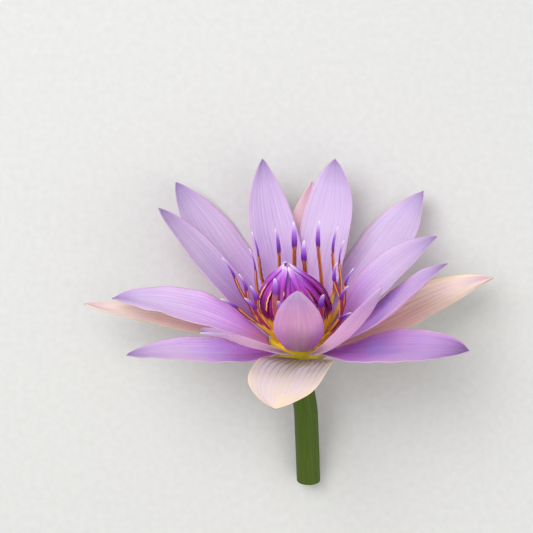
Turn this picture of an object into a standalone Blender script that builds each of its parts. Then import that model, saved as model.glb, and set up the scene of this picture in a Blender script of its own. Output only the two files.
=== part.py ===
"""A water lily flower, cut with a short piece of its stem and laid on its back.

The flower is modelled upright in a frame of its own, in millimetres and degrees: X to its right, Y to
its back and Z up its axis, from the top of the stem. Azimuths turn from X towards Y. A parent empty
then lays it down, so that it rests on the cut end of the stem and on the back edges of two petals.
"""

from math import cos, pi, radians, sin, tan
from typing import NamedTuple

import bmesh
import bpy
from mathutils import Vector

MM = 0.001
GAP = 0.3  # between pieces that meet

# The stem and the receptacle, the swollen top of the stem that carries everything else.
STEM_RADIUS = 4.3
STEM_LENGTH = 46.0
STEM_LEAN = 1.9  # how far it leans to the right over its length
STEM_BEND = 1.5  # how far a bend near its top carries it further to the right
STEM_BEND_SPAN = (0.09, 0.44)  # the bend's start and end, as shares of the length
STEM_POINTS = 12
RECEPTACLE_FOOT = -4.0
RECEPTACLE_WALL = 10.3
RECEPTACLE_SHOULDER = 5.2
RECEPTACLE_SEGMENTS = 32

# Petals and sepals leave the receptacle's wall in five tiers, the sepals lowest.
TIER_HEIGHT = (0.8, 1.7, 2.6, 3.5, 4.4)
PETAL_THICKNESS = 0.9
PETAL_FOOT = RECEPTACLE_WALL + GAP + PETAL_THICKNESS / 2
PETAL_GRID = (6, 12)
PETAL_FOOT_SHARE = 0.26  # width at the foot, as a share of the full width
PETAL_WIDEST = 0.42
PETAL_HANDLE = 0.36  # how far each end's direction carries into the midrib
FOOT_CUP = 14.0

# Stamens are straps in two rings on the receptacle's shoulder.
STAMEN_THICKNESS = 0.6
STAMEN_GRID = (2, 9)
STAMEN_CUP = 12.0
STRAP_TIP = 0.8  # where a stamen starts to narrow
OUTER_RING = 21
OUTER_FOOT = (9.5, 5.6)  # radius and height
OUTER_WIDTH = 2.6
OUTER_HANDLE = 0.52
OUTER_BASE_RISE = 47.0
OUTER_FLICK = 2.0  # how far the tip bends outwards
OUTER_SLOT_START = -8.0  # azimuth of the first foot
INNER_RING = 20
INNER_FOOT = (7.6, 5.8)
INNER_WIDTH = 3.7
INNER_HANDLE = 0.56
INNER_TIP = (3.6, 30.5)
INNER_RISES = (54.0, 146.0)
SECTOR_FILL = 0.86  # share of its sector that an inner stamen may fill
DOME_LEAN = -4.4  # the inner ring leans to the left, by this much at its tips
INNER_HEIGHT_SPREAD = 1.6
INNER_HEIGHT_STEP = 2.4  # radians from one stamen to the next, so that no two neighbours end level

# How the flower lies: its axis above the floor, and the small roll that lets both petals touch.
AXIS_ELEVATION = 20.26
AXIS_ROLL = 2.73


class Blade(NamedTuple):
    """A petal or sepal: where its foot and its tip are, how steeply it leaves and ends, and its form."""

    name: str
    tier: int
    foot: float  # azimuth of the foot
    azimuth: float  # of the tip
    reach: float  # of the tip, from the axis
    height: float  # of the tip
    foot_rise: float
    tip_rise: float
    width: float
    cup: float  # half the angle that its cross-section bends through
    roll: float  # turn about its own length, which lifts the edge on the side of rising azimuth
    fullness: float = 2.6  # how blunt its outer part is
    foot_share: float = PETAL_FOOT_SHARE  # width at the foot, as a share of the full width
    widest: float = PETAL_WIDEST  # how far along it is widest


SEPALS = (
    Blade("sepal_front", 0, 273, 262.3, 64, 6, 22, -22, 25, 16, 0, 6.0),
    Blade("sepal_left", 0, 171, 174.5, 76, 14.5, 17, 11, 18, 20, -3),
    Blade("sepal_right", 0, 4, 7, 68, 24, 17, 15, 22, 26, 12),
    Blade("sepal_back", 0, 88, 82, 33, 51.5, 34, 88, 19, 24, 0),
)
PETALS = (
    Blade("petal_back_left", 4, 104, 117, 29, 62, 52, 92, 19.5, 26, 0),
    Blade("petal_back_right", 2, 80, 64.5, 29, 62, 38, 94, 19.6, 26, 0, 4.0),
    Blade("petal_upper_left", 1, 130, 144.5, 54, 51.7, 33, 60, 28, 26, 0, 3.0),
    Blade("petal_left_inner", 4, 158, 165.5, 51, 48, 41, 51, 23, 28, 0, 3.2),
    Blade("petal_upper_right", 1, 45, 33.5, 53, 49, 31, 54, 27.5, 26, 0, 3.0),
    Blade("petal_right_inner", 4, 14, 7, 47.5, 40, 47, 38, 25, 28, 6),
    Blade("petal_right_middle", 3, 343, 341.5, 51.5, 38, 28, 44, 20, 28, 12),
    Blade("petal_right_low", 1, 323, 334, 62.5, 11, 12, 8, 22, 26, 13, 3.2),
    Blade("petal_left_middle", 3, 189, 175, 66, 17, 32, -1, 20.5, 26, -12),
    Blade("petal_left_low", 1, 213, 199, 62.5, 6.4, 4, 0, 20, 26, -7, 2.0),
    Blade("petal_front_left", 2, 234, 232, 54, 24, 22, 24, 18, 30, 0, 2.6, 0.45),
    Blade("petal_front", 4, 268, 267.5, 42, 38, 40, 50, 17.5, 28, 0, 2.2, 0.55, 0.32),
    Blade("petal_front_right", 2, 303, 304, 46, 38, 26, 58, 18, 30, 14, 2.6, 0.45),
)
# The outer stamens' tips, in the order of their feet: azimuth, reach, height and the rise at the tip.
OUTER_TIPS = (
    (352, 12.5, 33, 100),
    (3, 18.5, 30, 80),
    (27, 17, 38, 88),
    (46, 19, 41, 84),
    (68, 18.5, 42, 88),
    (84, 13.5, 36, 96),
    (97, 18, 41.5, 88),
    (116, 19.5, 39, 84),
    (147, 20, 40, 86),
    (157, 19, 35, 88),
    (178, 27, 34, 74),
    (188, 21.5, 29.5, 84),
    (200, 29, 23, 50),
    (208, 19.5, 27.5, 90),
    (217, 24, 25, 66),
    (232, 14.5, 31, 114),
    (247, 20, 25.5, 84),
    (270, 18, 24, 92),
    (293, 19, 27.5, 84),
    (318, 23, 20, 54),
    (334, 18, 27, 84),
)


class Look(NamedTuple):
    colour: tuple
    roughness: float


LOOKS = {
    "stem": Look((0.24, 0.27, 0.03), 0.5),
    "receptacle": Look((0.42, 0.38, 0.06), 0.5),
    "sepal": Look((0.80, 0.62, 0.50), 0.5),
    "petal": Look((0.62, 0.45, 0.80), 0.45),
    "stamen": Look((0.36, 0.03, 0.22), 0.5),
}


def clear_scene():
    for obj in list(bpy.data.objects):
        bpy.data.objects.remove(obj, do_unlink=True)


def material(name, look):
    made = bpy.data.materials.new(name)
    made.use_nodes = True
    made.diffuse_color = (*look.colour, 1)
    shader = made.node_tree.nodes["Principled BSDF"]
    shader.inputs["Base Color"].default_value = (*look.colour, 1)
    shader.inputs["Roughness"].default_value = look.roughness
    shader.inputs["Metallic"].default_value = 0
    return made


def add_object(name, data, look):
    """An object in the flower's collection, carried by the empty that lays the flower down."""
    data.materials.append(material(name, LOOKS[look]))
    obj = bpy.data.objects.new(name, data)
    flower.objects.link(obj)
    obj.parent = layer
    return obj


def radial(azimuth):
    return Vector((cos(radians(azimuth)), sin(radians(azimuth)), 0))


def place(azimuth, reach, height):
    return radial(azimuth) * reach + Vector((0, 0, height))


def heading(azimuth, rise):
    return radial(azimuth) * cos(radians(rise)) + Vector((0, 0, sin(radians(rise))))


class Midrib:
    """A cubic curve from foot to tip, with the axes of the cross-section along it."""

    def __init__(self, foot, foot_heading, tip, tip_heading, handle, azimuth):
        span = handle * (tip - foot).length
        self.points = (foot, foot + span * foot_heading, tip - span * tip_heading, tip)
        self.side = Vector((-sin(radians(azimuth)), cos(radians(azimuth)), 0))

    def at(self, v):
        """The place at v, from 0 at the foot to 1 at the tip, with the width's axis and the inner face's."""
        a, b, c, d = self.points
        u = 1 - v
        where = u**3 * a + 3 * u * u * v * b + 3 * u * v * v * c + v**3 * d
        along = (u * u * (b - a) + 2 * u * v * (c - b) + v * v * (d - c)).normalized()
        across = (self.side - self.side.dot(along) * along).normalized()
        return where, across, along.cross(across)


def freed(v):
    """How far a blade has left the foot's own shape behind, from 0 at the foot to 1."""
    return 1 - (1 - v) ** 3


def petal_share(spec, v):
    """Width along a petal, as a share of its full width: a narrow foot, and a pointed tip."""
    if v < spec.widest:
        grown = sin(pi / 2 * v / spec.widest) ** 1.2
        return spec.foot_share + (1 - spec.foot_share) * grown
    return 0.05 + 0.95 * (1 - ((v - spec.widest) / (1 - spec.widest)) ** spec.fullness)


def strap_share(v):
    """Width along a stamen: a broad filament, an even anther and a short blunt tip."""
    if v < STRAP_TIP:
        return 0.84 + 0.16 * sin(pi * v)
    return 0.93 - 0.5 * ((v - STRAP_TIP) / (1 - STRAP_TIP)) ** 1.6


def blade(name, look, grid, midrib, half_width, cup, roll, thickness, moved=lambda point, v: point):
    """A closed blade: a sheet bent over its midrib, arched across, and thickened."""
    sheet = bmesh.new()
    bmesh.ops.create_grid(sheet, x_segments=grid[0], y_segments=grid[1], size=1)
    for vertex in sheet.verts:
        s, v = vertex.co.x, (vertex.co.y + 1) / 2
        where, across, inner = midrib.at(v)
        turn = radians(roll * freed(v))
        across, inner = cos(turn) * across + sin(turn) * inner, cos(turn) * inner - sin(turn) * across
        bend = radians(cup(v))
        arc = half_width(v) / bend
        point = where + arc * sin(s * bend) * across + arc * (1 - cos(s * bend)) * inner
        vertex.co = MM * moved(point, v)
    mesh = bpy.data.meshes.new(name)
    sheet.to_mesh(mesh)
    sheet.free()
    mesh.shade_smooth()
    obj = add_object(name, mesh, look)
    shell = obj.modifiers.new("thickness", "SOLIDIFY")
    shell.thickness = thickness * MM
    shell.offset = 0
    return obj


def petal(spec, look):
    midrib = Midrib(
        place(spec.foot, PETAL_FOOT, TIER_HEIGHT[spec.tier]),
        heading(spec.foot, spec.foot_rise),
        place(spec.azimuth, spec.reach, spec.height),
        heading(spec.azimuth, spec.tip_rise),
        PETAL_HANDLE,
        spec.azimuth,
    )
    blade(
        spec.name,
        look,
        PETAL_GRID,
        midrib,
        lambda v: spec.width / 2 * petal_share(spec, v),
        lambda v: FOOT_CUP + (spec.cup - FOOT_CUP) * freed(v),
        spec.roll,
        PETAL_THICKNESS,
    )


def outer_stamen(number, tip):
    """One strap of the open ring, arching outwards, with its tip bent further out."""
    azimuth, reach, height, tip_rise = tip
    foot = OUTER_SLOT_START + number * 360 / OUTER_RING
    midrib = Midrib(
        place(foot, *OUTER_FOOT),
        heading(foot, OUTER_BASE_RISE),
        place(azimuth, reach - OUTER_FLICK, height),
        heading(azimuth, tip_rise),
        OUTER_HANDLE,
        azimuth,
    )

    def flicked(point, v):
        return point + radial(azimuth) * OUTER_FLICK * max(0, (v - STRAP_TIP) / (1 - STRAP_TIP)) ** 2

    blade(
        f"stamen_outer_{number + 1:02d}",
        "stamen",
        STAMEN_GRID,
        midrib,
        lambda v: OUTER_WIDTH / 2 * strap_share(v),
        lambda v: STAMEN_CUP,
        0,
        STAMEN_THICKNESS,
        flicked,
    )


def inner_stamen(number):
    """One strap of the closed dome, which keeps inside its own sector and leans with the dome."""
    azimuth = number * 360 / INNER_RING
    radius, height = INNER_TIP
    midrib = Midrib(
        place(azimuth, *INNER_FOOT),
        heading(azimuth, INNER_RISES[0]),
        place(azimuth, radius, height + INNER_HEIGHT_SPREAD * sin(INNER_HEIGHT_STEP * number)),
        heading(azimuth, INNER_RISES[1]),
        INNER_HANDLE,
        azimuth,
    )

    def half_width(v):
        sector = tan(pi / INNER_RING) * midrib.at(v)[0].xy.length
        return min(INNER_WIDTH / 2 * strap_share(v), SECTOR_FILL * sector)

    def leaned(point, v):
        share = (point.z - INNER_FOOT[1]) / (height - INNER_FOOT[1])
        return point + Vector((DOME_LEAN * share, 0, 0))

    blade(
        f"stamen_inner_{number + 1:02d}",
        "stamen",
        STAMEN_GRID,
        midrib,
        half_width,
        lambda v: STAMEN_CUP,
        0,
        STAMEN_THICKNESS,
        leaned,
    )


def receptacle():
    """A turned knob: it flares out of the stem, carries the petals on its wall and is dished on top."""
    top = RECEPTACLE_SHOULDER
    profile = (
        (0, top - 3.0),
        (4.0, top - 2.6),
        (6.4, top - 0.6),
        (8.0, top),
        (9.4, top - 0.5),
        (RECEPTACLE_WALL, top - 1.0),
        (RECEPTACLE_WALL, 0.2),
        (9.2, -1.4),
        (6.4, -3.0),
        (STEM_RADIUS + 0.2, RECEPTACLE_FOOT),
        (0, RECEPTACLE_FOOT),
    )
    mesh = bpy.data.meshes.new("receptacle")
    corners = [(r * MM, 0, z * MM) for r, z in profile]
    mesh.from_pydata(corners, [(i, i + 1) for i in range(len(corners) - 1)], [])
    obj = add_object("receptacle", mesh, "receptacle")
    turned = obj.modifiers.new("turned", "SCREW")
    turned.steps = turned.render_steps = RECEPTACLE_SEGMENTS
    turned.use_merge_vertices = True
    turned.merge_threshold = 1e-5


def stem():
    """A round stalk that bends and leans a little to the right, cut square at its lower end."""
    tilt = STEM_LEAN / STEM_LENGTH
    top = Vector((0, 0, RECEPTACLE_FOOT - GAP - STEM_RADIUS * tilt))
    curve = bpy.data.curves.new("stem", "CURVE")
    curve.dimensions = "3D"
    curve.bevel_depth = STEM_RADIUS * MM
    curve.bevel_resolution = 6
    curve.use_fill_caps = True
    line = curve.splines.new("POLY")
    line.points.add(STEM_POINTS - 1)
    for i, point in enumerate(line.points):
        share = i / (STEM_POINTS - 1)
        start, end = STEM_BEND_SPAN
        bent = min(1, max(0, (share - start) / (end - start)))
        right = STEM_LEAN * share + STEM_BEND * bent * bent * (3 - 2 * bent)
        point.co = (*(MM * (top + Vector((right, 0, -STEM_LENGTH * share)))), 1)
    add_object("stem", curve, "stem")


def lay_down():
    """Turns the flower onto its back, with the middle of its box above the origin and its foot at zero."""
    layer.rotation_euler = (radians(AXIS_ELEVATION - 90), radians(AXIS_ROLL), 0)
    bpy.context.view_layer.update()
    graph = bpy.context.evaluated_depsgraph_get()
    corners = []
    for obj in flower.objects:
        if obj.type == "EMPTY":
            continue
        solid = obj.evaluated_get(graph)
        mesh = solid.to_mesh()
        corners += [solid.matrix_world @ vertex.co for vertex in mesh.vertices]
        solid.to_mesh_clear()
    lows = [min(corner[axis] for corner in corners) for axis in range(3)]
    highs = [max(corner[axis] for corner in corners) for axis in range(3)]
    layer.location = (-(lows[0] + highs[0]) / 2, -(lows[1] + highs[1]) / 2, -lows[2])


clear_scene()
flower = bpy.data.collections.new("water_lily")
bpy.context.scene.collection.children.link(flower)
layer = bpy.data.objects.new("laid_down", None)
flower.objects.link(layer)

stem()
receptacle()
for row in SEPALS:
    petal(row, "sepal")
for row in PETALS:
    petal(row, "petal")
for index, tip_row in enumerate(OUTER_TIPS):
    outer_stamen(index, tip_row)
for index in range(INNER_RING):
    inner_stamen(index)
lay_down()
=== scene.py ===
"""The looks of a cut water lily flower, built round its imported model.

The flower has a frame of its own, in millimetres and degrees: X to its right, Y to its back and Z up its
axis, from the top of the stem. Azimuths turn from X towards Y. Every piece is made in that frame and then
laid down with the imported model, whose receptacle says where the frame is. Colours are screen colours,
from 0 to 255.
"""

from math import cos, exp, hypot, pi, radians, sin, sqrt, tan
from typing import NamedTuple

import bpy
from mathutils import Euler, Matrix, Vector, noise


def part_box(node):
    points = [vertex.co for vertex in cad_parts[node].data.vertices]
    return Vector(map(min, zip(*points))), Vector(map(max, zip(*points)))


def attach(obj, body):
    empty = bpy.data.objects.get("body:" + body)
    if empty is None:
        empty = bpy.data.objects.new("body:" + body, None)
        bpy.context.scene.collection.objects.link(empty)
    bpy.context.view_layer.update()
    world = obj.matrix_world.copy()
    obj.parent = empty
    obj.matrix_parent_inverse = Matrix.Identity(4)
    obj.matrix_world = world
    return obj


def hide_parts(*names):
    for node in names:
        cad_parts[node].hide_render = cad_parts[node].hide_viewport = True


MM = 0.001

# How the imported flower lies: its axis above the floor, and its roll.
AXIS_ELEVATION = 20.26
AXIS_ROLL = 2.73

# The camera looks at the flower as it grew: from its front, and a little from above.
VIEW_ELEVATION = 20.0
VIEW_DISTANCE = 650.0
VIEW_TARGET = Vector((-11.7, 9.99, 27.44))
VIEW_WIDTH = 186.55  # of what the picture takes in, at the target
SENSOR_WIDTH = 36.0

# The stem and the receptacle.
STEM_RADIUS = 4.3
STEM_TOP = -4.48
STEM_LENGTH = 46.0
STEM_LEAN = 1.9
STEM_BEND = 1.5
STEM_BEND_SPAN = (0.09, 0.44)
STEM_SEGMENTS, STEM_RINGS, CUT_RINGS = 96, 60, 22
CANAL_DEPTH = 2.2
RECEPTACLE_WALL = 10.3
RECEPTACLE_SHOULDER = 5.2
RECEPTACLE_OUTLINE = (
    (0, RECEPTACLE_SHOULDER - 3.0),
    (4.0, RECEPTACLE_SHOULDER - 2.6),
    (6.4, RECEPTACLE_SHOULDER - 0.6),
    (8.0, RECEPTACLE_SHOULDER),
    (9.4, RECEPTACLE_SHOULDER - 0.5),
    (RECEPTACLE_WALL, RECEPTACLE_SHOULDER - 1.0),
    (RECEPTACLE_WALL, 0.2),
    (9.2, -1.4),
    (6.4, -3.0),
    (4.5, -4.0),
    (0, -4.0),
)

# Petals and sepals.
TIER_HEIGHT = (0.8, 1.7, 2.6, 3.5, 4.4)
PETAL_FOOT = 11.05
PETAL_FOOT_SHARE = 0.26
PETAL_WIDEST = 0.42
PETAL_HANDLE = 0.36
FOOT_CUP = 14.0
PETAL_COLUMNS, PETAL_ROWS = 44, 84
PETAL_THICKNESS = 0.6
TIP_START = 0.94  # where a petal's outline starts to round off

# Stamens.
STAMEN_COLUMNS, STAMEN_ROWS = 12, 44
STAMEN_THICKNESS = 0.5
ANTHER_START, ANTHER_END = 0.36, 0.82
OUTER_RING = 21
OUTER_FOOT = (9.5, 5.6)
OUTER_WIDTH = 2.6
OUTER_HANDLE = 0.52
OUTER_BASE_RISE = 47.0
OUTER_FLICK = 2.0
OUTER_SLOT_START = -8.0
OUTER_TURN = 28.0  # the most that an open stamen turns about its own length
OUTER_CUP = 26.0
FLICK_START = 0.8
INNER_RING = 20
INNER_FOOT = (7.6, 5.8)
STRAP_WIDTH = 1.75
UNDER_FOOT = (7.2, 5.7)
INNER_HANDLE = 0.56
INNER_TOP = 30.5
INNER_RISES = (54.0, 146.0)
DOME_LEAN = -4.4
INNER_HEIGHT_SPREAD = 1.6
INNER_HEIGHT_STEP = 2.4
INNER_CUP = 34.0
INNER_ROLL = 10.0
INNER_SPREAD = 1.25  # width, as a share of a ring of forty
INNER_TIP_RADII = (2.0, 1.0)  # by turns round the ring
UNDER_SPREAD = 1.7
UNDER_TIP_RADIUS = 1.3

# The set, in metres and watts. A light has a place, a size and a power.
FLOOR_HALF = 1.5
WORLD_STRENGTH = 0.66
KEY_LIGHT = ((-0.24, 0.26, 0.7), 0.5, 4.0)
FILL_LIGHT = ((0.4, -0.25, 0.55), 0.6, 1.3)


class Blade(NamedTuple):
    """A petal or sepal: where its foot and its tip are, how steeply it leaves and ends, and its form."""

    name: str
    tier: int
    foot: float  # azimuth of the foot
    azimuth: float  # of the tip
    reach: float  # of the tip, from the axis
    height: float  # of the tip
    foot_rise: float
    tip_rise: float
    width: float
    cup: float  # half the angle that its cross-section bends through
    roll: float  # turn about its own length, which lifts the edge on the side of rising azimuth
    fullness: float = 2.6  # how blunt its outer part is
    foot_share: float = PETAL_FOOT_SHARE  # width at the foot, as a share of the full width
    widest: float = PETAL_WIDEST  # how far along it is widest
    # On petals, the deep end of tone is partly their own deeper colour and partly painted shade on the low
    # petals under others
    tone: float = 0.3  # from pale to deep
    # blue is partly the petal's own blue and partly painted shade, where other petals lie over it
    blue: float = 0.4  # how much its middle turns to blue
    wave: float = 0.5  # how far its rim swings, in millimetres
    tip: float = TIP_START  # where its outline starts to round off


SEPALS = (
    Blade("sepal_front", 0, 273, 262.3, 64, 6, 22, -22, 25, 16, 0, 6.0, tip=0.975),
    Blade("sepal_left", 0, 171, 174.5, 76, 14.5, 17, 11, 18, 20, -3, tip=0.97),
    Blade("sepal_right", 0, 4, 7, 68, 24, 17, 15, 22, 26, 12),
    Blade("sepal_back", 0, 88, 82, 33, 51.5, 34, 88, 19, 24, 0, tip=0.97, tone=1),
)
PETALS = (
    Blade("petal_back_left", 4, 104, 117, 29, 62, 52, 92, 19.5, 26, 0, tone=0.15, blue=0.3, tip=0.975),
    Blade(
        "petal_back_right", 2, 80, 64.5, 29, 62, 38, 94, 19.6, 26, 0, 4.0,
        tone=0.0, blue=0.05, tip=0.965,
    ),
    Blade(
        "petal_upper_left", 1, 130, 144.5, 54, 51.7, 33, 60, 28, 26, 0, 3.0,
        tone=0.12, blue=0.1, tip=0.965,
    ),
    Blade(
        "petal_left_inner", 4, 158, 165.5, 51, 48, 41, 51, 23, 28, 0, 3.2,
        tone=0.3, blue=0.2, tip=0.965,
    ),
    Blade(
        "petal_upper_right", 1, 45, 33.5, 53, 49, 31, 54, 27.5, 26, 0, 3.0,
        tone=0.05, blue=0.1, tip=0.965,
    ),
    Blade(
        "petal_right_inner", 4, 14, 7, 47.5, 40, 47, 38, 25, 28, 6,
        tone=0.32, blue=0.1, wave=0.8, tip=0.97,
    ),
    Blade(
        "petal_right_middle", 3, 343, 341.5, 51.5, 38, 28, 44, 20, 28, 12,
        tone=0.5, blue=0.8, tip=0.97,
    ),
    Blade(
        "petal_right_low", 1, 323, 334, 62.5, 11, 12, 8, 22, 26, 13, 3.2,
        tone=0.95, blue=0.9, wave=0.8,
    ),
    Blade(
        "petal_left_middle", 3, 189, 175, 66, 17, 32, -1, 20.5, 26, -12, 2.6, 0.32,
        tone=0.2, blue=0.15, wave=1.1,
    ),
    Blade(
        "petal_left_low", 1, 213, 199, 62.5, 6.4, 4, 0, 20, 26, -7, 2.0,
        tone=0.4, blue=0.5, wave=0.9, tip=0.98,
    ),
    Blade("petal_front_left", 2, 234, 232, 54, 24, 22, 24, 18, 30, 0, 2.6, 0.45, tone=0.5),
    Blade("petal_front", 4, 268, 267.5, 42, 38, 40, 50, 17.5, 28, 0, 2.2, 0.55, 0.32, tone=0.5),
    Blade("petal_front_right", 2, 303, 304, 46, 38, 26, 58, 18, 30, 14, 2.6, 0.45, tone=0.6),
)
# The outer stamens' tips, in the order of their feet: azimuth, reach, height and the rise at the tip.
OUTER_TIPS = (
    (352, 12.5, 33, 100),
    (3, 18.5, 30, 80),
    (27, 17, 38, 88),
    (46, 19, 41, 84),
    (68, 18.5, 42, 88),
    (84, 13.5, 36, 96),
    (97, 18, 41.5, 88),
    (116, 19.5, 39, 84),
    (147, 20, 40, 86),
    (157, 19, 35, 88),
    (178, 27, 34, 74),
    (188, 21.5, 29.5, 84),
    (200, 29, 23, 50),
    (208, 19.5, 27.5, 90),
    (217, 24, 25, 66),
    (232, 14.5, 31, 114),
    (247, 20, 25.5, 84),
    (270, 18, 24, 92),
    (293, 19, 27.5, 84),
    (318, 23, 20, 54),
    (334, 18, 27, 84),
)


# ---------------------------------------------------------------- the flower's frame


def laid_down():
    """The matrix from the flower's frame, in metres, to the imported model's."""
    turn = Euler((radians(AXIS_ELEVATION - 90), radians(AXIS_ROLL), 0)).to_matrix()
    low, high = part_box("receptacle")
    offset = Vector()
    for axis in range(3):
        upright = turn[axis][2]
        level = hypot(turn[axis][0], turn[axis][1])
        top = max(radius * level + height * upright for radius, height in RECEPTACLE_OUTLINE)
        bottom = min(height * upright - radius * level for radius, height in RECEPTACLE_OUTLINE)
        offset[axis] = (low[axis] + high[axis]) / 2 - MM * (top + bottom) / 2
    return Matrix.Translation(offset) @ turn.to_4x4()


def radial(azimuth):
    return Vector((cos(radians(azimuth)), sin(radians(azimuth)), 0))


def place(azimuth, reach, height):
    return radial(azimuth) * reach + Vector((0, 0, height))


def heading(azimuth, rise):
    return radial(azimuth) * cos(radians(rise)) + Vector((0, 0, sin(radians(rise))))


def clamped(value):
    return min(1.0, max(0.0, value))


def smooth(start, end, value):
    t = clamped((value - start) / (end - start))
    return t * t * (3 - 2 * t)


# ---------------------------------------------------------------- node trees


def screen(red, green, blue):
    """A screen colour as the linear colour that a shader takes."""
    shares = [channel / 255 for channel in (red, green, blue)]
    linear = [c / 12.92 if c <= 10 / 255 else ((c + 0.055) / 1.055) ** 2.4 for c in shares]
    return (*linear, 1)


class Finish:
    """A material whose pattern is written as formulas over its piece's own coordinates."""

    def __init__(self, name):
        self.material = bpy.data.materials.new(name)
        self.material.use_nodes = True
        self.tree = self.material.node_tree
        self.shader = self.tree.nodes["Principled BSDF"]

    def feed(self, socket, value):
        if isinstance(value, bpy.types.NodeSocket):
            self.tree.links.new(value, socket)
        else:
            socket.default_value = value

    def value(self, name):
        """A number stored on the mesh."""
        node = self.tree.nodes.new("ShaderNodeAttribute")
        node.attribute_name = name
        return node.outputs["Fac"]

    def math(self, operation, *values):
        node = self.tree.nodes.new("ShaderNodeMath")
        node.operation = operation
        for socket, value in zip(node.inputs, values):
            self.feed(socket, value)
        return node.outputs[0]

    def point(self, x, y, z):
        node = self.tree.nodes.new("ShaderNodeCombineXYZ")
        for socket, value in zip(node.inputs, (x, y, z)):
            self.feed(socket, value)
        return node.outputs[0]

    def noise(self, where, scale, detail=2.0, roughness=0.5):
        node = self.tree.nodes.new("ShaderNodeTexNoise")
        self.feed(node.inputs["Vector"], where)
        node.inputs["Scale"].default_value = scale
        node.inputs["Detail"].default_value = detail
        node.inputs["Roughness"].default_value = roughness
        return node.outputs["Fac"]

    def ramp(self, value, *stops):
        """Stops are (place, number) or (place, screen colour)."""
        node = self.tree.nodes.new("ShaderNodeValToRGB")
        self.feed(node.inputs["Fac"], value)
        elements = node.color_ramp.elements
        while len(elements) < len(stops):
            elements.new(0.5)
        for element, (where, what) in zip(elements, stops):
            element.position = where
        for element, (where, what) in zip(elements, stops):
            element.color = (what, what, what, 1) if isinstance(what, (int, float)) else screen(*what)
        return node.outputs["Color"]

    def mix(self, amount, first, second):
        node = self.tree.nodes.new("ShaderNodeMix")
        node.data_type = "RGBA"
        self.feed(node.inputs["Factor"], amount)
        for socket, value in ((node.inputs["A"], first), (node.inputs["B"], second)):
            self.feed(self.colour_socket(node, socket.name), self.as_colour(value))
        return self.colour_output(node)

    @staticmethod
    def colour_socket(node, name):
        return next(s for s in node.inputs if s.name == name and s.type == "RGBA")

    @staticmethod
    def colour_output(node):
        return next(s for s in node.outputs if s.type == "RGBA")

    @staticmethod
    def as_colour(value):
        return screen(*value) if isinstance(value, tuple) and len(value) == 3 else value

    def set(self, **inputs):
        for name, value in inputs.items():
            self.feed(self.shader.inputs[name.replace("_", " ")], value)

    def bump(self, height, distance, strength=1.0):
        node = self.tree.nodes.new("ShaderNodeBump")
        node.inputs["Strength"].default_value = strength
        node.inputs["Distance"].default_value = distance
        self.feed(node.inputs["Height"], height)
        self.feed(self.shader.inputs["Normal"], node.outputs["Normal"])

    def soft(self, weight, radius=(1.0, 0.5, 0.7), scale=0.0012):
        """Light that gets into a thin living blade and out again."""
        self.shader.inputs["Subsurface Weight"].default_value = weight
        self.shader.inputs["Subsurface Radius"].default_value = radius
        self.shader.inputs["Subsurface Scale"].default_value = scale


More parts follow.
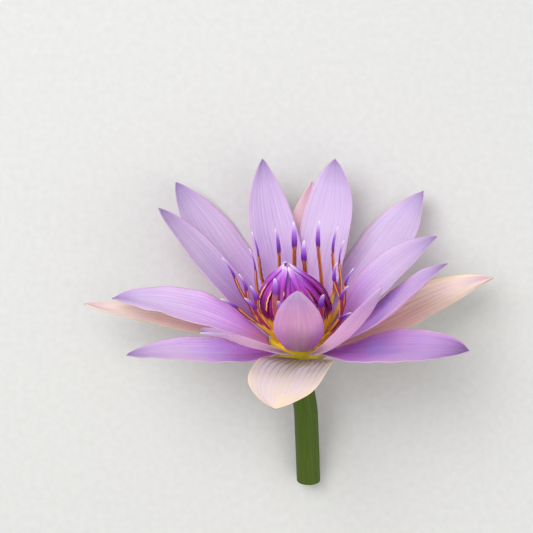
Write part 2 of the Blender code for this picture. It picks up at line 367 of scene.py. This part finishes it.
def petal_finish():
    """Pale lilac with fine lengthwise veins: violet by the foot, blue patches in the middle, pink at the
    rim. The blue patches and the deeper tone of the low petals are partly the petals' own colour and partly
    painted shade, and the tiny white specks low on the inner face are painted glints.
    """
    f = Finish("petal")
    across, along, inner = f.value("across"), f.value("along"), f.value("inner")
    tone, blue_and_shade = f.value("tone"), f.value("blue")
    where = f.point(f.math("MULTIPLY", across, 14), f.math("MULTIPLY", along, 1.6), tone)
    grain = f.noise(where, 1.0, 5.0, 0.62)
    drift = f.noise(f.point(across, f.math("MULTIPLY", along, 2.2), f.math("MULTIPLY", tone, 9)), 1.5, 2.0)
    pale = f.ramp(
        along,
        (0.0, (210, 120, 214)),
        (0.14, (218, 152, 230)),
        (0.34, (224, 188, 242)),
        (0.6, (220, 202, 232)),
        (0.84, (206, 190, 224)),
        (0.95, (178, 160, 202)),
        (1.0, (146, 122, 172)),
    )
    # The deep ramp, darker to the tip, is partly the petals' own colour and partly painted shade.
    deep = f.ramp(
        along,
        (0.0, (176, 108, 150)),
        (0.2, (190, 132, 204)),
        (0.42, (196, 158, 220)),
        (0.7, (196, 160, 206)),
        (0.86, (158, 120, 180)),
        (0.95, (112, 76, 138)),
        (1.0, (92, 58, 118)),
    )
    face = f.mix(tone, pale, deep)
    near_foot = f.ramp(along, (0.1, 1.0), (0.5, 0.0))
    flush = f.math("MULTIPLY", near_foot, f.ramp(tone, (0.2, 0.0), (0.3, 0.85)))
    face = f.mix(flush, face, (178, 100, 200))
    # Blue patches in the middle of the blade: partly the petal's own blue, partly painted shade under the
    # petals above.
    middle = f.ramp(along, (0.15, 0.0), (0.35, 1.0), (0.75, 0.3), (0.9, 0.0))
    blue_and_shade_patches = f.math("MULTIPLY", f.ramp(drift, (0.42, 0.0), (0.6, 1.0)), middle)
    blue = f.math("MULTIPLY", blue_and_shade_patches, blue_and_shade)
    face = f.mix(blue, face, (166, 148, 222))
    rim = f.ramp(f.math("ABSOLUTE", across), (0.8, 0.0), (0.98, 0.5))
    face = f.mix(rim, face, (226, 184, 222))
    back = f.ramp(
        along,
        (0.0, (244, 186, 236)),
        (0.25, (244, 184, 232)),
        (0.6, (230, 172, 214)),
        (0.85, (198, 154, 206)),
        (1.0, (200, 176, 212)),
    )
    body = f.mix(inner, back, face)
    streak = f.ramp(grain, (0.36, 1.0), (0.54, 0.0))
    body = f.mix(f.math("MULTIPLY", streak, 0.22), body, (172, 112, 200))
    light = f.ramp(grain, (0.52, 0.0), (0.72, 0.25))
    body = f.mix(light, body, (238, 224, 246))
    # Painted glints: tiny white specks on the inner face, low on the blade, stand for sparkle.
    where = f.point(f.math("MULTIPLY", across, 26), f.math("MULTIPLY", along, 80), tone)
    specks = f.noise(where, 1.0, 0.0)
    lower = f.ramp(along, (0.1, 0.0), (0.2, 1.0), (0.6, 1.0), (0.75, 0.0))
    glint_specks = f.math("MULTIPLY", f.ramp(specks, (0.8, 0.0), (0.83, 0.8)), lower)
    painted_glints = f.math("MULTIPLY", glint_specks, inner)
    body = f.mix(painted_glints, body, (252, 246, 250))
    f.set(Base_Color=body, Roughness=f.ramp(grain, (0.3, 0.44), (0.7, 0.58)))
    f.set(Sheen_Weight=0.08, Sheen_Roughness=0.4)
    f.bump(grain, 0.00025, 0.5)
    f.soft(0.28)
    return f.material


def sepal_finish(name, veins, vein_colour, reach):
    """Cream inside, pinker with tone, with pink veins and a yellow rim, and green outside."""
    f = Finish(name)
    across, along, inner = (f.value(key) for key in ("across", "along", "inner"))
    where = f.point(f.math("MULTIPLY", across, 13), f.math("MULTIPLY", along, 1.2), 3.0)
    grain = f.noise(where, 1.0, 5.0, 0.6)
    drift = f.noise(f.point(across, f.math("MULTIPLY", along, 2.0), 7.0), 1.6, 2.0)
    face = f.ramp(
        along,
        (0.0, (214, 190, 104)),
        (0.1, (255, 216, 178)),
        (0.3, (255, 232, 208)),
        (0.55, (255, 240, 220)),
        (0.8, (255, 236, 222)),
        (0.94, (214, 188, 200)),
        (1.0, (186, 160, 176)),
    )
    face = f.mix(f.ramp(drift, (0.42, 0.0), (0.62, 0.8)), face, (255, 240, 198))
    streak = f.ramp(grain, (0.38, 1.0), (0.52, 0.0))
    face = f.mix(f.math("MULTIPLY", streak, 0.26), face, (232, 168, 166))
    wander = f.math("MULTIPLY", f.math("SUBTRACT", drift, 0.5), 0.12)
    turns = f.math("MULTIPLY", f.math("ADD", across, wander), veins * pi / 2)
    beat = f.math("ABSOLUTE", f.math("SINE", turns))
    line = f.ramp(beat, (0.0, 1.0), (0.3, 0.0))
    fade = f.ramp(along, (0.0, 1.0), (reach * 0.6, 0.8), (reach, 0.0))
    face = f.mix(f.math("MULTIPLY", line, fade), face, vein_colour)
    rim = f.ramp(f.math("ABSOLUTE", across), (0.86, 0.0), (0.98, 0.8))
    face = f.mix(rim, face, (240, 222, 158))
    back = f.ramp(along, (0.0, (112, 116, 30)), (0.5, (146, 150, 70)), (1.0, (168, 150, 96)))
    back = f.mix(f.math("MULTIPLY", streak, 0.5), back, (112, 70, 84))
    face = f.mix(f.math("MULTIPLY", f.value("tone"), 0.7), face, (226, 186, 206))
    f.set(Base_Color=f.mix(inner, back, face), Roughness=f.ramp(grain, (0.3, 0.42), (0.7, 0.56)))
    f.set(Sheen_Weight=0.1, Sheen_Roughness=0.4)
    f.bump(grain, 0.0003, 0.5)
    f.soft(0.25, (1.0, 0.6, 0.4))
    return f.material


def front_sepal_finish():
    """White to cream, with dark green veins that run out from a green foot, and a cream rim. The olive-grey
    over the foot half is partly the sepal's own green and partly painted shade.
    """
    f = Finish("sepal_front")
    across, along, inner = (f.value(key) for key in ("across", "along", "inner"))
    where = f.point(f.math("MULTIPLY", across, 12), f.math("MULTIPLY", along, 1.2), 1.0)
    grain = f.noise(where, 1.0, 4.0, 0.6)
    drift = f.noise(f.point(across, f.math("MULTIPLY", along, 2.0), 5.0), 1.7, 2.0)
    # From the foot, olive to grey to cream: the olive-grey over the lower half is partly the sepal's own
    # green and partly painted shade from the petals above it.
    face = f.ramp(
        along,
        (0.0, (96, 94, 8)),
        (0.14, (116, 106, 22)),
        (0.26, (134, 124, 72)),
        (0.4, (160, 156, 126)),
        (0.56, (180, 174, 164)),
        (0.8, (226, 206, 196)),
        (1.0, (240, 212, 184)),
    )
    face = f.mix(f.ramp(drift, (0.45, 0.0), (0.65, 0.5)), face, (214, 198, 216))
    wander = f.math("MULTIPLY", f.math("SUBTRACT", drift, 0.5), 0.16)
    turns = f.math("MULTIPLY", f.math("ADD", across, wander), 6.5 * pi)
    beat = f.math("ABSOLUTE", f.math("SINE", turns))
    line = f.ramp(beat, (0.0, 1.0), (0.42, 0.0))
    fade = f.ramp(along, (0.1, 1.0), (0.4, 0.9), (0.72, 0.0))
    face = f.mix(f.math("MULTIPLY", line, fade), face, (62, 62, 18))
    rim = f.ramp(f.math("ABSOLUTE", across), (0.86, 0.0), (0.98, 0.5))
    face = f.mix(rim, face, (232, 212, 184))
    back = f.ramp(along, (0.0, (104, 110, 26)), (0.5, (140, 148, 66)), (1.0, (170, 160, 104)))
    back = f.mix(f.math("MULTIPLY", f.ramp(grain, (0.38, 1.0), (0.52, 0.0)), 0.4), back, (100, 72, 70))
    f.set(Base_Color=f.mix(inner, back, face), Roughness=f.ramp(grain, (0.3, 0.42), (0.7, 0.56)))
    f.bump(f.math("SUBTRACT", grain, f.math("MULTIPLY", line, 0.5)), 0.0003, 0.5)
    f.soft(0.22, (1.0, 0.8, 0.5))
    return f.material


def open_stamen_finish():
    """Yellow filament, tan anther with crimson flanks and orange edges, violet appendage with a pale tip."""
    f = Finish("stamen_open")
    across, along, inner, tone = (f.value(key) for key in ("across", "along", "inner", "tone"))
    width = f.math("ABSOLUTE", across)
    own = f.math("MULTIPLY", tone, 20)
    where = f.point(f.math("MULTIPLY", across, 4), f.math("MULTIPLY", along, 26), own)
    grain = f.noise(where, 1.0, 3.0)
    ragged = f.math("ADD", along, f.math("MULTIPLY", f.math("SUBTRACT", grain, 0.5), 0.05))
    filament = f.ramp(
        ragged,
        (0.0, (255, 214, 40)),
        (0.3, (255, 214, 52)),
        (0.35, (226, 120, 70)),
        (0.4, (142, 16, 84)),
    )
    core = f.mix(inner, (164, 24, 74), (202, 126, 74))
    flank = f.mix(f.ramp(width, (0.4, 0.0), (0.52, 1.0)), core, (150, 18, 58))
    weaker_inside = f.mix(inner, (1, 1, 1, 1), (0.35, 0.35, 0.35, 1))
    edge = f.math("MULTIPLY", f.ramp(width, (0.74, 0.0), (0.82, 1.0)), weaker_inside)
    anther = f.mix(edge, flank, (244, 176, 92))
    anther = f.mix(f.ramp(grain, (0.56, 0.0), (0.76, 0.3)), anther, (250, 200, 120))
    tip = f.ramp(
        along,
        (ANTHER_END, (92, 16, 124)),
        (ANTHER_END + 0.05, (124, 48, 172)),
        (0.93, (164, 108, 212)),
        (0.975, (214, 186, 236)),
        (1.0, (244, 232, 250)),
    )
    lower = f.mix(f.ramp(ragged, (0.36, 0.0), (0.42, 1.0)), filament, anther)
    body = f.mix(f.ramp(ragged, (ANTHER_END - 0.01, 0.0), (ANTHER_END + 0.01, 1.0)), lower, tip)
    f.set(Base_Color=body, Roughness=f.ramp(grain, (0.3, 0.36), (0.7, 0.52)))
    f.bump(grain, 0.0002, 0.6)
    f.soft(0.12)
    return f.material


def closed_stamen_finish():
    """Yellow foot, dark magenta strap with thin wavy orange lines, and a lilac tip; a painted highlight runs
    down each strap's middle and painted shade along its edges.
    """
    f = Finish("stamen_closed")
    across, along, tone = (f.value(key) for key in ("across", "along", "tone"))
    width = f.math("ABSOLUTE", across)
    own = f.math("MULTIPLY", tone, 20)
    where = f.point(f.math("MULTIPLY", across, 5), f.math("MULTIPLY", along, 7), own)
    grain = f.noise(where, 1.0, 3.0)
    ragged = f.math("ADD", along, f.math("MULTIPLY", f.math("SUBTRACT", grain, 0.5), 0.12))
    body = f.ramp(
        ragged,
        (0.0, (255, 212, 40)),
        (0.27, (255, 206, 60)),
        (0.32, (170, 44, 84)),
        (0.37, (118, 4, 78)),
        (0.6, (134, 6, 112)),
        (0.76, (158, 30, 160)),
        (0.88, (178, 84, 208)),
        (0.95, (212, 158, 236)),
        (1.0, (248, 232, 252)),
    )
    # Painted highlight: a lighter violet down the middle of each strap, over its upper part.
    upper = f.ramp(ragged, (0.36, 0.0), (0.55, 0.3), (0.8, 0.8), (0.95, 0.5))
    painted_ridge_highlight = f.math("MULTIPLY", f.ramp(width, (0.1, 0.7), (0.45, 0.0)), upper)
    body = f.mix(painted_ridge_highlight, body, (196, 96, 210))
    span = f.ramp(ragged, (0.3, 0.0), (0.4, 0.8), (0.8, 0.6), (0.92, 0.0))
    shade = f.math("MULTIPLY", f.ramp(width, (0.66, 0.0), (0.95, 1.0)), span)
    body = f.mix(shade, body, (112, 6, 92))
    wave = f.math("MULTIPLY", f.math("SINE", f.math("MULTIPLY", along, 70)), 0.05)
    line = f.math("ABSOLUTE", f.math("SUBTRACT", f.math("ADD", across, wave), 0.6))
    reach = f.ramp(along, (0.3, 0.0), (0.36, 1.0), (0.7, 1.0), (0.76, 0.0))
    thread = f.math("MULTIPLY", f.ramp(line, (0.1, 1.0), (0.2, 0.0)), reach)
    chosen = f.ramp(f.noise(f.point(tone, along, 0.0), 9.0), (0.4, 0.0), (0.46, 1.0))
    body = f.mix(f.math("MULTIPLY", thread, chosen), body, (255, 190, 92))
    f.set(Base_Color=body, Roughness=f.ramp(grain, (0.3, 0.42), (0.7, 0.56)), Specular_IOR_Level=0.3)
    f.bump(grain, 0.0002, 0.4)
    f.soft(0.1)
    return f.material


def stem_finish():
    """Olive green, with faint lengthwise lines and a paler cut end."""
    f = Finish("stem")
    across, along, cut = (f.value(key) for key in ("across", "along", "cut"))
    grain = f.noise(f.point(f.math("MULTIPLY", across, 30), f.math("MULTIPLY", along, 2), 0.0), 1.0, 4.0)
    skin = f.ramp(grain, (0.3, (58, 78, 2)), (0.5, (66, 88, 4)), (0.72, (80, 100, 12)))
    skin = f.mix(f.ramp(along, (0.0, 0.5), (0.3, 0.0)), skin, (104, 98, 16))
    body = f.mix(cut, skin, f.ramp(grain, (0.3, (168, 176, 96)), (0.7, (206, 210, 146))))
    f.set(Base_Color=body, Roughness=f.ramp(grain, (0.3, 0.46), (0.7, 0.6)), Specular_IOR_Level=0.3)
    f.bump(grain, 0.0002, 0.4)
    f.soft(0.12, (0.6, 1.0, 0.2))
    return f.material


def receptacle_finish():
    """Yellow-green at the rim and green below, with a yellow dished top."""
    f = Finish("receptacle")
    across, along = f.value("across"), f.value("along")
    grain = f.noise(f.point(f.math("MULTIPLY", across, 20), f.math("MULTIPLY", along, 4), 0.0), 1.0, 4.0)
    body = f.ramp(
        along,
        (0.0, (84, 96, 8)),
        (0.3, (108, 106, 10)),
        (0.4, (132, 120, 16)),
        (0.52, (255, 218, 40)),
        (1.0, (255, 226, 66)),
    )
    body = f.mix(f.ramp(grain, (0.4, 0.2), (0.6, 0.0)), body, (150, 116, 12))
    f.set(Base_Color=body, Roughness=f.ramp(grain, (0.3, 0.4), (0.7, 0.55)))
    f.bump(grain, 0.0004, 0.5)
    f.soft(0.12, (1.0, 0.9, 0.2))
    return f.material


def floor_finish():
    """A pale matt floor."""
    f = Finish("floor")
    coordinates = f.tree.nodes.new("ShaderNodeTexCoord").outputs["Object"]
    grain = f.noise(coordinates, 400.0, 3.0)
    f.set(Base_Color=f.ramp(grain, (0.3, (203, 203, 201)), (0.7, (208, 208, 206))), Roughness=0.9)
    return f.material


# ---------------------------------------------------------------- pieces


def add_piece(name, mesh, finish, node=None):
    """A piece of the flower: it rides with the one body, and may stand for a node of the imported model."""
    mesh.materials.append(finish)
    mesh.shade_smooth()
    mesh.update()
    obj = bpy.data.objects.new(name, mesh)
    bpy.context.scene.collection.objects.link(obj)
    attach(obj, "root")
    if node:
        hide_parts(node)
    return obj


def store(mesh, name, values):
    mesh.attributes.new(name, "FLOAT", "POINT").data.foreach_set("value", values)


class Midrib:
    """A cubic curve from foot to tip, with the axes of the cross-section along it."""

    def __init__(self, foot, foot_heading, tip, tip_heading, handle, azimuth):
        span = handle * (tip - foot).length
        self.points = (foot, foot + span * foot_heading, tip - span * tip_heading, tip)
        self.side = Vector((-sin(radians(azimuth)), cos(radians(azimuth)), 0))

    def at(self, v):
        """The place at v, from 0 at the foot to 1 at the tip, with the width's axis and the inner face's."""
        a, b, c, d = self.points
        u = 1 - v
        where = u**3 * a + 3 * u * u * v * b + 3 * u * v * v * c + v**3 * d
        along = (u * u * (b - a) + 2 * u * v * (c - b) + v * v * (d - c)).normalized()
        across = (self.side - self.side.dot(along) * along).normalized()
        return where, across, along.cross(across)


def freed(v):
    """How far a blade has left the foot's own shape behind, from 0 at the foot to 1."""
    return 1 - (1 - v) ** 3


def rounded_tip(v, start):
    """Takes an outline in to a round end."""
    return sqrt(max(0.0, 1 - max(0.0, (v - start) / (1 - start)) ** 2))


def petal_share(spec, v):
    """Width along a petal, as a share of its full width: a narrow foot, and a pointed tip."""
    if v < spec.widest:
        grown = sin(pi / 2 * v / spec.widest) ** 1.2
        return spec.foot_share + (1 - spec.foot_share) * grown
    return 0.05 + 0.95 * (1 - ((v - spec.widest) / (1 - spec.widest)) ** spec.fullness)


def blade(name, columns, rows, midrib, half_width, cup, roll, lift, thickness, moved=lambda point, v: point):
    """A closed blade: an inner and an outer face over one sheet that bends over its midrib.

    lift moves the sheet towards its inner side and thickness parts its faces, both in millimetres,
    from a place's s, across from -1 to 1, and v, along from 0 to 1.
    """
    faces = ([], [])
    table = []
    for row in range(rows + 1):
        v = 1 - (1 - row / rows) ** 1.2
        where, across, inner = midrib.at(v)
        turn = radians(roll * freed(v))
        across, inner = cos(turn) * across + sin(turn) * inner, cos(turn) * inner - sin(turn) * across
        bend = radians(cup(v))
        arc = half_width(v) / bend
        for column in range(columns + 1):
            s = 2 * column / columns - 1
            normal = cos(s * bend) * inner - sin(s * bend) * across
            middle = where + arc * sin(s * bend) * across + arc * (1 - cos(s * bend)) * inner
            middle = middle + lift(s, v) * normal
            half = thickness(s, v) / 2 * normal
            faces[0].append(moved(middle + half, v))
            faces[1].append(moved(middle - half, v))
            table.append((s, v))
    count = len(table)
    wide = columns + 1
    quads = []
    for row in range(rows):
        for column in range(columns):
            a = row * wide + column
            b, c, d = a + 1, a + wide + 1, a + wide
            quads.append((a, b, c, d))
            quads.append((count + d, count + c, count + b, count + a))
        for a, b in ((row * wide, (row + 1) * wide), ((row + 1) * wide + columns, row * wide + columns)):
            quads.append((a, b, count + b, count + a))
    for column in range(columns):
        a, b = column, column + 1
        quads.append((b, a, count + a, count + b))
        a, b = rows * wide + column, rows * wide + column + 1
        quads.append((a, b, count + b, count + a))
    mesh = bpy.data.meshes.new(name)
    mesh.from_pydata([to_world @ (MM * point) for point in faces[0] + faces[1]], [], quads)
    store(mesh, "across", [s for s, v in table] * 2)
    store(mesh, "along", [v for s, v in table] * 2)
    store(mesh, "inner", [1.0] * count + [0.0] * count)
    return mesh


def petal(spec, finish, seed):
    """A petal or sepal with a midrib groove, raised veins, a slightly wavy rim and thin edges."""
    midrib = Midrib(
        place(spec.foot, PETAL_FOOT, TIER_HEIGHT[spec.tier]),
        heading(spec.foot, spec.foot_rise),
        place(spec.azimuth, spec.reach, spec.height),
        heading(spec.azimuth, spec.tip_rise),
        PETAL_HANDLE,
        spec.azimuth,
    )

    def half_width(v):
        wobble = 1 + 0.02 * noise.noise(Vector((v * 5, seed, 0)))
        return spec.width / 2 * petal_share(spec, v) * rounded_tip(v, spec.tip) * wobble + 0.02

    def lift(s, v):
        leaves = smooth(0.05, 0.3, v)
        swell = 0.55 * noise.noise(Vector((s * 1.1, v * 3.2, seed)))
        rim = spec.wave * abs(s) ** 4 * noise.noise(Vector((3 if s > 0 else -3, v * 7, seed + 20)))
        groove = -0.22 * exp(-((s / 0.07) ** 2)) * (1 - v)
        veins = 0.045 * cos(2 * pi * 6 * s) * (1 - abs(s)) ** 0.4 * smooth(1.0, 0.7, v)
        return leaves * (swell + rim) + groove + veins

    def thickness(s, v):
        return PETAL_THICKNESS * (1 - 0.72 * s**6) * (1 - 0.35 * v)

    mesh = blade(
        spec.name,
        PETAL_COLUMNS,
        PETAL_ROWS,
        midrib,
        half_width,
        lambda v: FOOT_CUP + (spec.cup - FOOT_CUP) * freed(v),
        spec.roll,
        lift,
        thickness,
    )
    store(mesh, "tone", [spec.tone] * len(mesh.vertices))
    store(mesh, "blue", [spec.blue] * len(mesh.vertices))
    add_piece(f"{spec.name}_blade", mesh, finish, spec.name)


def stamen_share(v):
    """Width along a stamen: a broad foot, a narrow anther, and an appendage that swells and then tapers."""
    share = 0.92 - 0.36 * smooth(0.1, ANTHER_START, v)
    share += 0.24 * smooth(ANTHER_END - 0.03, ANTHER_END + 0.03, v)
    share -= 0.3 * smooth(ANTHER_END + 0.03, 1.0, v)
    return share * rounded_tip(v, 0.95)


def stamen_body(s, v):
    """The sheet's lift and thickness: sacs make two ridges on the anther's inner face."""
    anther = smooth(ANTHER_START - 0.02, ANTHER_START + 0.04, v)
    anther *= smooth(ANTHER_END + 0.01, ANTHER_END - 0.03, v)
    sacs = exp(-(((abs(s) - 0.6) / 0.26) ** 2)) * (1 + 0.25 * sin(80 * v + 2 * s))
    edge = 1 - 0.5 * abs(s) ** 4
    thickness = STAMEN_THICKNESS * edge * (1 - 0.2 * smooth(ANTHER_END, 1.0, v)) + 0.5 * anther * sacs
    return 0.14 * anther * sacs, thickness


def stamen(name, midrib, half_width, cup, roll, moved, finish, node, tone):
    mesh = blade(
        name,
        STAMEN_COLUMNS,
        STAMEN_ROWS,
        midrib,
        half_width,
        lambda v: cup,
        roll,
        lambda s, v: stamen_body(s, v)[0],
        lambda s, v: stamen_body(s, v)[1],
        moved,
    )
    store(mesh, "tone", [tone] * len(mesh.vertices))
    add_piece(f"{name}_strap", mesh, finish, node)


def outer_stamen(number, tip, finish):
    """One strap of the open ring, arching outwards, with its tip bent further out."""
    azimuth, reach, height, tip_rise = tip
    foot = OUTER_SLOT_START + number * 360 / OUTER_RING
    midrib = Midrib(
        place(foot, *OUTER_FOOT),
        heading(foot, OUTER_BASE_RISE),
        place(azimuth, reach - OUTER_FLICK, height),
        heading(azimuth, tip_rise),
        OUTER_HANDLE,
        azimuth,
    )
    turn = max(-OUTER_TURN, min(OUTER_TURN, -2 * OUTER_TURN * cos(radians(azimuth))))

    def flicked(point, v):
        sway = 0.35 * noise.noise(Vector((v * 3, number * 1.7, 2))) * smooth(0.2, 0.5, v)
        flick = OUTER_FLICK * max(0, (v - FLICK_START) / (1 - FLICK_START)) ** 2
        return point + radial(azimuth) * (flick + sway)

    name = f"stamen_outer_{number + 1:02d}"
    stamen(
        name,
        midrib,
        lambda v: OUTER_WIDTH / 2 * stamen_share(v) + 0.02,
        OUTER_CUP,
        turn,
        flicked,
        finish,
        name,
        number / OUTER_RING,
    )


def dome_stamen(name, azimuth, foot, tip_radius, height, spread, finish, node, tone):
    """One strap of the closed dome, which leans with it.

    spread is its width, as a share of its place in a ring of forty.
    """
    midrib = Midrib(
        place(azimuth, *foot),
        heading(azimuth, INNER_RISES[0]),
        place(azimuth, tip_radius, height),
        heading(azimuth, INNER_RISES[1]),
        INNER_HANDLE,
        azimuth,
    )

    def half_width(v):
        sector = tan(pi / (2 * INNER_RING)) * midrib.at(v)[0].xy.length
        return min(spread * STRAP_WIDTH / 2, spread * sector + 0.62) * rounded_tip(v, 0.97) + 0.02

    def leaned(point, v):
        share = (point.z - INNER_FOOT[1]) / (INNER_TOP - INNER_FOOT[1])
        return point + Vector((DOME_LEAN * share, 0, 0))

    stamen(name, midrib, half_width, INNER_CUP, INNER_ROLL, leaned, finish, node, tone)


def dome(finish):
    """The closed inner stamens, and as many again that show between them."""
    for number in range(INNER_RING):
        name = f"stamen_inner_{number + 1:02d}"
        height = INNER_TOP + INNER_HEIGHT_SPREAD * sin(INNER_HEIGHT_STEP * number)
        tip_radius = INNER_TIP_RADII[number % 2]
        turn = number * 360 / INNER_RING
        tone = number / INNER_RING
        dome_stamen(name, turn, INNER_FOOT, tip_radius, height, INNER_SPREAD, finish, name, tone)
    for number in range(INNER_RING):
        name = f"stamen_under_{number + 1:02d}"
        height = INNER_TOP - 1.0 + 1.2 * sin(INNER_HEIGHT_STEP * number + 1)
        turn = (number + 0.5) * 360 / INNER_RING
        tone = number / INNER_RING + 0.5
        dome_stamen(name, turn, UNDER_FOOT, UNDER_TIP_RADIUS, height, UNDER_SPREAD, finish, None, tone)


def turned(name, outline, segments, ripple):
    """A closed surface of revolution over the flower's axis. ripple changes its radius round the axis."""
    mesh = bpy.data.meshes.new(name)
    rings = [point for point in outline if point[0] > 0]
    first, last = outline[0], outline[-1]
    points, across, along = [], [], []
    for index, (radius, height) in enumerate(rings):
        for step in range(segments):
            turn = 360 * step / segments
            points.append(place(turn, radius + ripple(turn, index / (len(rings) - 1)), height))
            across.append(sin(radians(turn)))
            along.append(1 - index / (len(rings) - 1))
    quads = []
    for ring in range(len(rings) - 1):
        for step in range(segments):
            a, b = ring * segments + step, ring * segments + (step + 1) % segments
            quads.append((a, a + segments, b + segments, b))
    top, bottom = len(points), len(points) + 1
    points += [Vector((0, 0, first[1])), Vector((0, 0, last[1]))]
    across += [0, 0]
    along += [1, 0]
    end = (len(rings) - 1) * segments
    for step in range(segments):
        after = (step + 1) % segments
        quads.append((top, step, after))
        quads.append((bottom, end + after, end + step))
    mesh.from_pydata([to_world @ (MM * point) for point in points], [], quads)
    store(mesh, "across", across)
    store(mesh, "along", along)
    return mesh


def softened(outline, per_side):
    """An outline run through its corners as a smooth curve."""
    points = [outline[0], *outline, outline[-1]]
    curve = []
    for a, b, c, d in zip(points, points[1:], points[2:], points[3:]):
        for step in range(per_side):
            t = step / per_side
            curve.append(
                tuple(
                    0.5
                    * (
                        2 * q
                        + (r - p) * t
                        + (2 * p - 5 * q + 4 * r - s) * t * t
                        + (3 * q - p - 3 * r + s) * t**3
                    )
                    for p, q, r, s in zip(a, b, c, d)
                )
            )
    return curve + [outline[-1]]


def receptacle(finish):
    """The knob that carries everything, with faint ribs where the petals leave it."""

    def ripple(turn, share):
        return 0.12 * sin(radians(turn * 24)) * sin(pi * share)

    outline = [point for point in softened(RECEPTACLE_OUTLINE, 5) if point[0] > 0.05]
    outline = [(0, RECEPTACLE_OUTLINE[0][1])] + outline + [(0, RECEPTACLE_OUTLINE[-1][1])]
    mesh = turned("receptacle", outline, 96, ripple)
    add_piece("receptacle_knob", mesh, finish, "receptacle")


def stem(finish):
    """The stalk, faintly ribbed, with its air canals open in the cut end."""
    segments, rings, cut_rings = STEM_SEGMENTS, STEM_RINGS, CUT_RINGS
    points, across, along, cut = [], [], [], []
    canals = [(place(45 + 90 * n, 1.75, 0), 0.85) for n in range(4)]
    canals += [(place(90 * n, 2.9, 0), 0.36) for n in range(4)]
    canals += [(place(22.5 + 45 * n, 3.35, 0), 0.24) for n in range(8)]

    def centre(share):
        right = STEM_LEAN * share + STEM_BEND * smooth(*STEM_BEND_SPAN, share)
        return Vector((right, 0, STEM_TOP - STEM_LENGTH * share))

    def depth(point):
        well = 0
        for middle, radius in canals:
            well = max(well, smooth(radius, radius * 0.72, (point - middle).length))
        return CANAL_DEPTH * well

    for ring in range(rings + 1):
        share = ring / rings
        for step in range(segments):
            turn = 360 * step / segments
            rib = 0.03 * sin(radians(turn * 16)) + 0.04 * noise.noise(Vector((turn / 9, share * 6, 4)))
            points.append(centre(share) + radial(turn) * (STEM_RADIUS - 0.08 + rib))
            across.append(sin(radians(turn)))
            along.append(share)
            cut.append(0)
    for ring in range(1, cut_rings):
        radius = (STEM_RADIUS - 0.14) * (1 - ring / cut_rings) ** 0.9
        for step in range(segments):
            offset = place(360 * step / segments, radius, 0)
            points.append(centre(1) + offset + Vector((0, 0, depth(offset))))
            across.append(offset.x / 3)
            along.append(offset.y / 3)
            cut.append(1)
    quads = []
    for ring in range(rings + cut_rings - 1):
        for step in range(segments):
            a, b = ring * segments + step, ring * segments + (step + 1) % segments
            quads.append((a, a + segments, b + segments, b))
    last = (rings + cut_rings - 1) * segments
    quads.append(tuple(last + step for step in range(segments))[::-1])
    quads.append(tuple(range(segments)))
    mesh = bpy.data.meshes.new("stem")
    mesh.from_pydata([to_world @ (MM * point) for point in points], [], quads)
    store(mesh, "across", across)
    store(mesh, "along", along)
    store(mesh, "cut", cut)
    add_piece("stem_stalk", mesh, finish, "stem")


# ---------------------------------------------------------------- the set


def add_floor():
    mesh = bpy.data.meshes.new("floor")
    half = FLOOR_HALF
    corners = [(-half, -half, 0), (half, -half, 0), (half, half, 0), (-half, half, 0)]
    mesh.from_pydata(corners, [], [(0, 1, 2, 3)])
    mesh.materials.append(floor_finish())
    obj = bpy.data.objects.new("floor", mesh)
    bpy.context.scene.collection.objects.link(obj)


def add_light(name, where, size, power):
    """A soft square light that faces the flower."""
    data = bpy.data.lights.new(name, "AREA")
    data.shape = "SQUARE"
    data.size = size
    data.energy = power
    obj = bpy.data.objects.new(name, data)
    obj.location = where
    obj.rotation_euler = Vector(where).to_track_quat("Z", "Y").to_euler()
    bpy.context.scene.collection.objects.link(obj)


def add_lights():
    world = bpy.data.worlds.new("studio")
    world.use_nodes = True
    world.node_tree.nodes["Background"].inputs["Color"].default_value = (1, 1, 1, 1)
    world.node_tree.nodes["Background"].inputs["Strength"].default_value = WORLD_STRENGTH
    bpy.context.scene.world = world
    add_light("key", *KEY_LIGHT)
    add_light("fill", *FILL_LIGHT)


def add_camera():
    """The camera stands in front of the flower as it grew, which is above it as it lies."""
    rise = radians(VIEW_ELEVATION)
    back = Vector((0, -cos(rise), sin(rise)))
    up = Vector((0, sin(rise), cos(rise)))
    turn = to_world.to_3x3() @ Matrix((Vector((1, 0, 0)), up, back)).transposed()
    data = bpy.data.cameras.new("camera")
    data.sensor_width = SENSOR_WIDTH
    data.lens = SENSOR_WIDTH * VIEW_DISTANCE / VIEW_WIDTH
    data.clip_start = 0.01
    obj = bpy.data.objects.new("camera", data)
    eye = to_world @ (MM * (VIEW_TARGET + VIEW_DISTANCE * back))
    obj.matrix_world = Matrix.Translation(eye) @ turn.to_4x4()
    bpy.context.scene.collection.objects.link(obj)
    bpy.context.scene.camera = obj


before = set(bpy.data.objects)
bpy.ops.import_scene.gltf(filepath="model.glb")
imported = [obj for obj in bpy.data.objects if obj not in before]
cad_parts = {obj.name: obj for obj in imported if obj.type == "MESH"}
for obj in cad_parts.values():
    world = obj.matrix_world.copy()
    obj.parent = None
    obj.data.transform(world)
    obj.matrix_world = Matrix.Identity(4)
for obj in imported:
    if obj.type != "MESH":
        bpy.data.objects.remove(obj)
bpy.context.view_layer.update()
to_world = laid_down()

stem(stem_finish())
receptacle(receptacle_finish())
petal_look = petal_finish()
sepal_look = sepal_finish("sepal", 9, (214, 132, 140), 0.9)
for index, spec in enumerate(PETALS):
    petal(spec, petal_look, index + 1)
petal(SEPALS[0], front_sepal_finish(), 31)
for index, spec in enumerate(SEPALS[1:]):
    petal(spec, sepal_look, index + 41)
open_look = open_stamen_finish()
for index, tip_row in enumerate(OUTER_TIPS):
    outer_stamen(index, tip_row, open_look)
dome(closed_stamen_finish())

add_floor()
add_lights()
add_camera()
bpy.context.scene.view_settings.view_transform = "Standard"
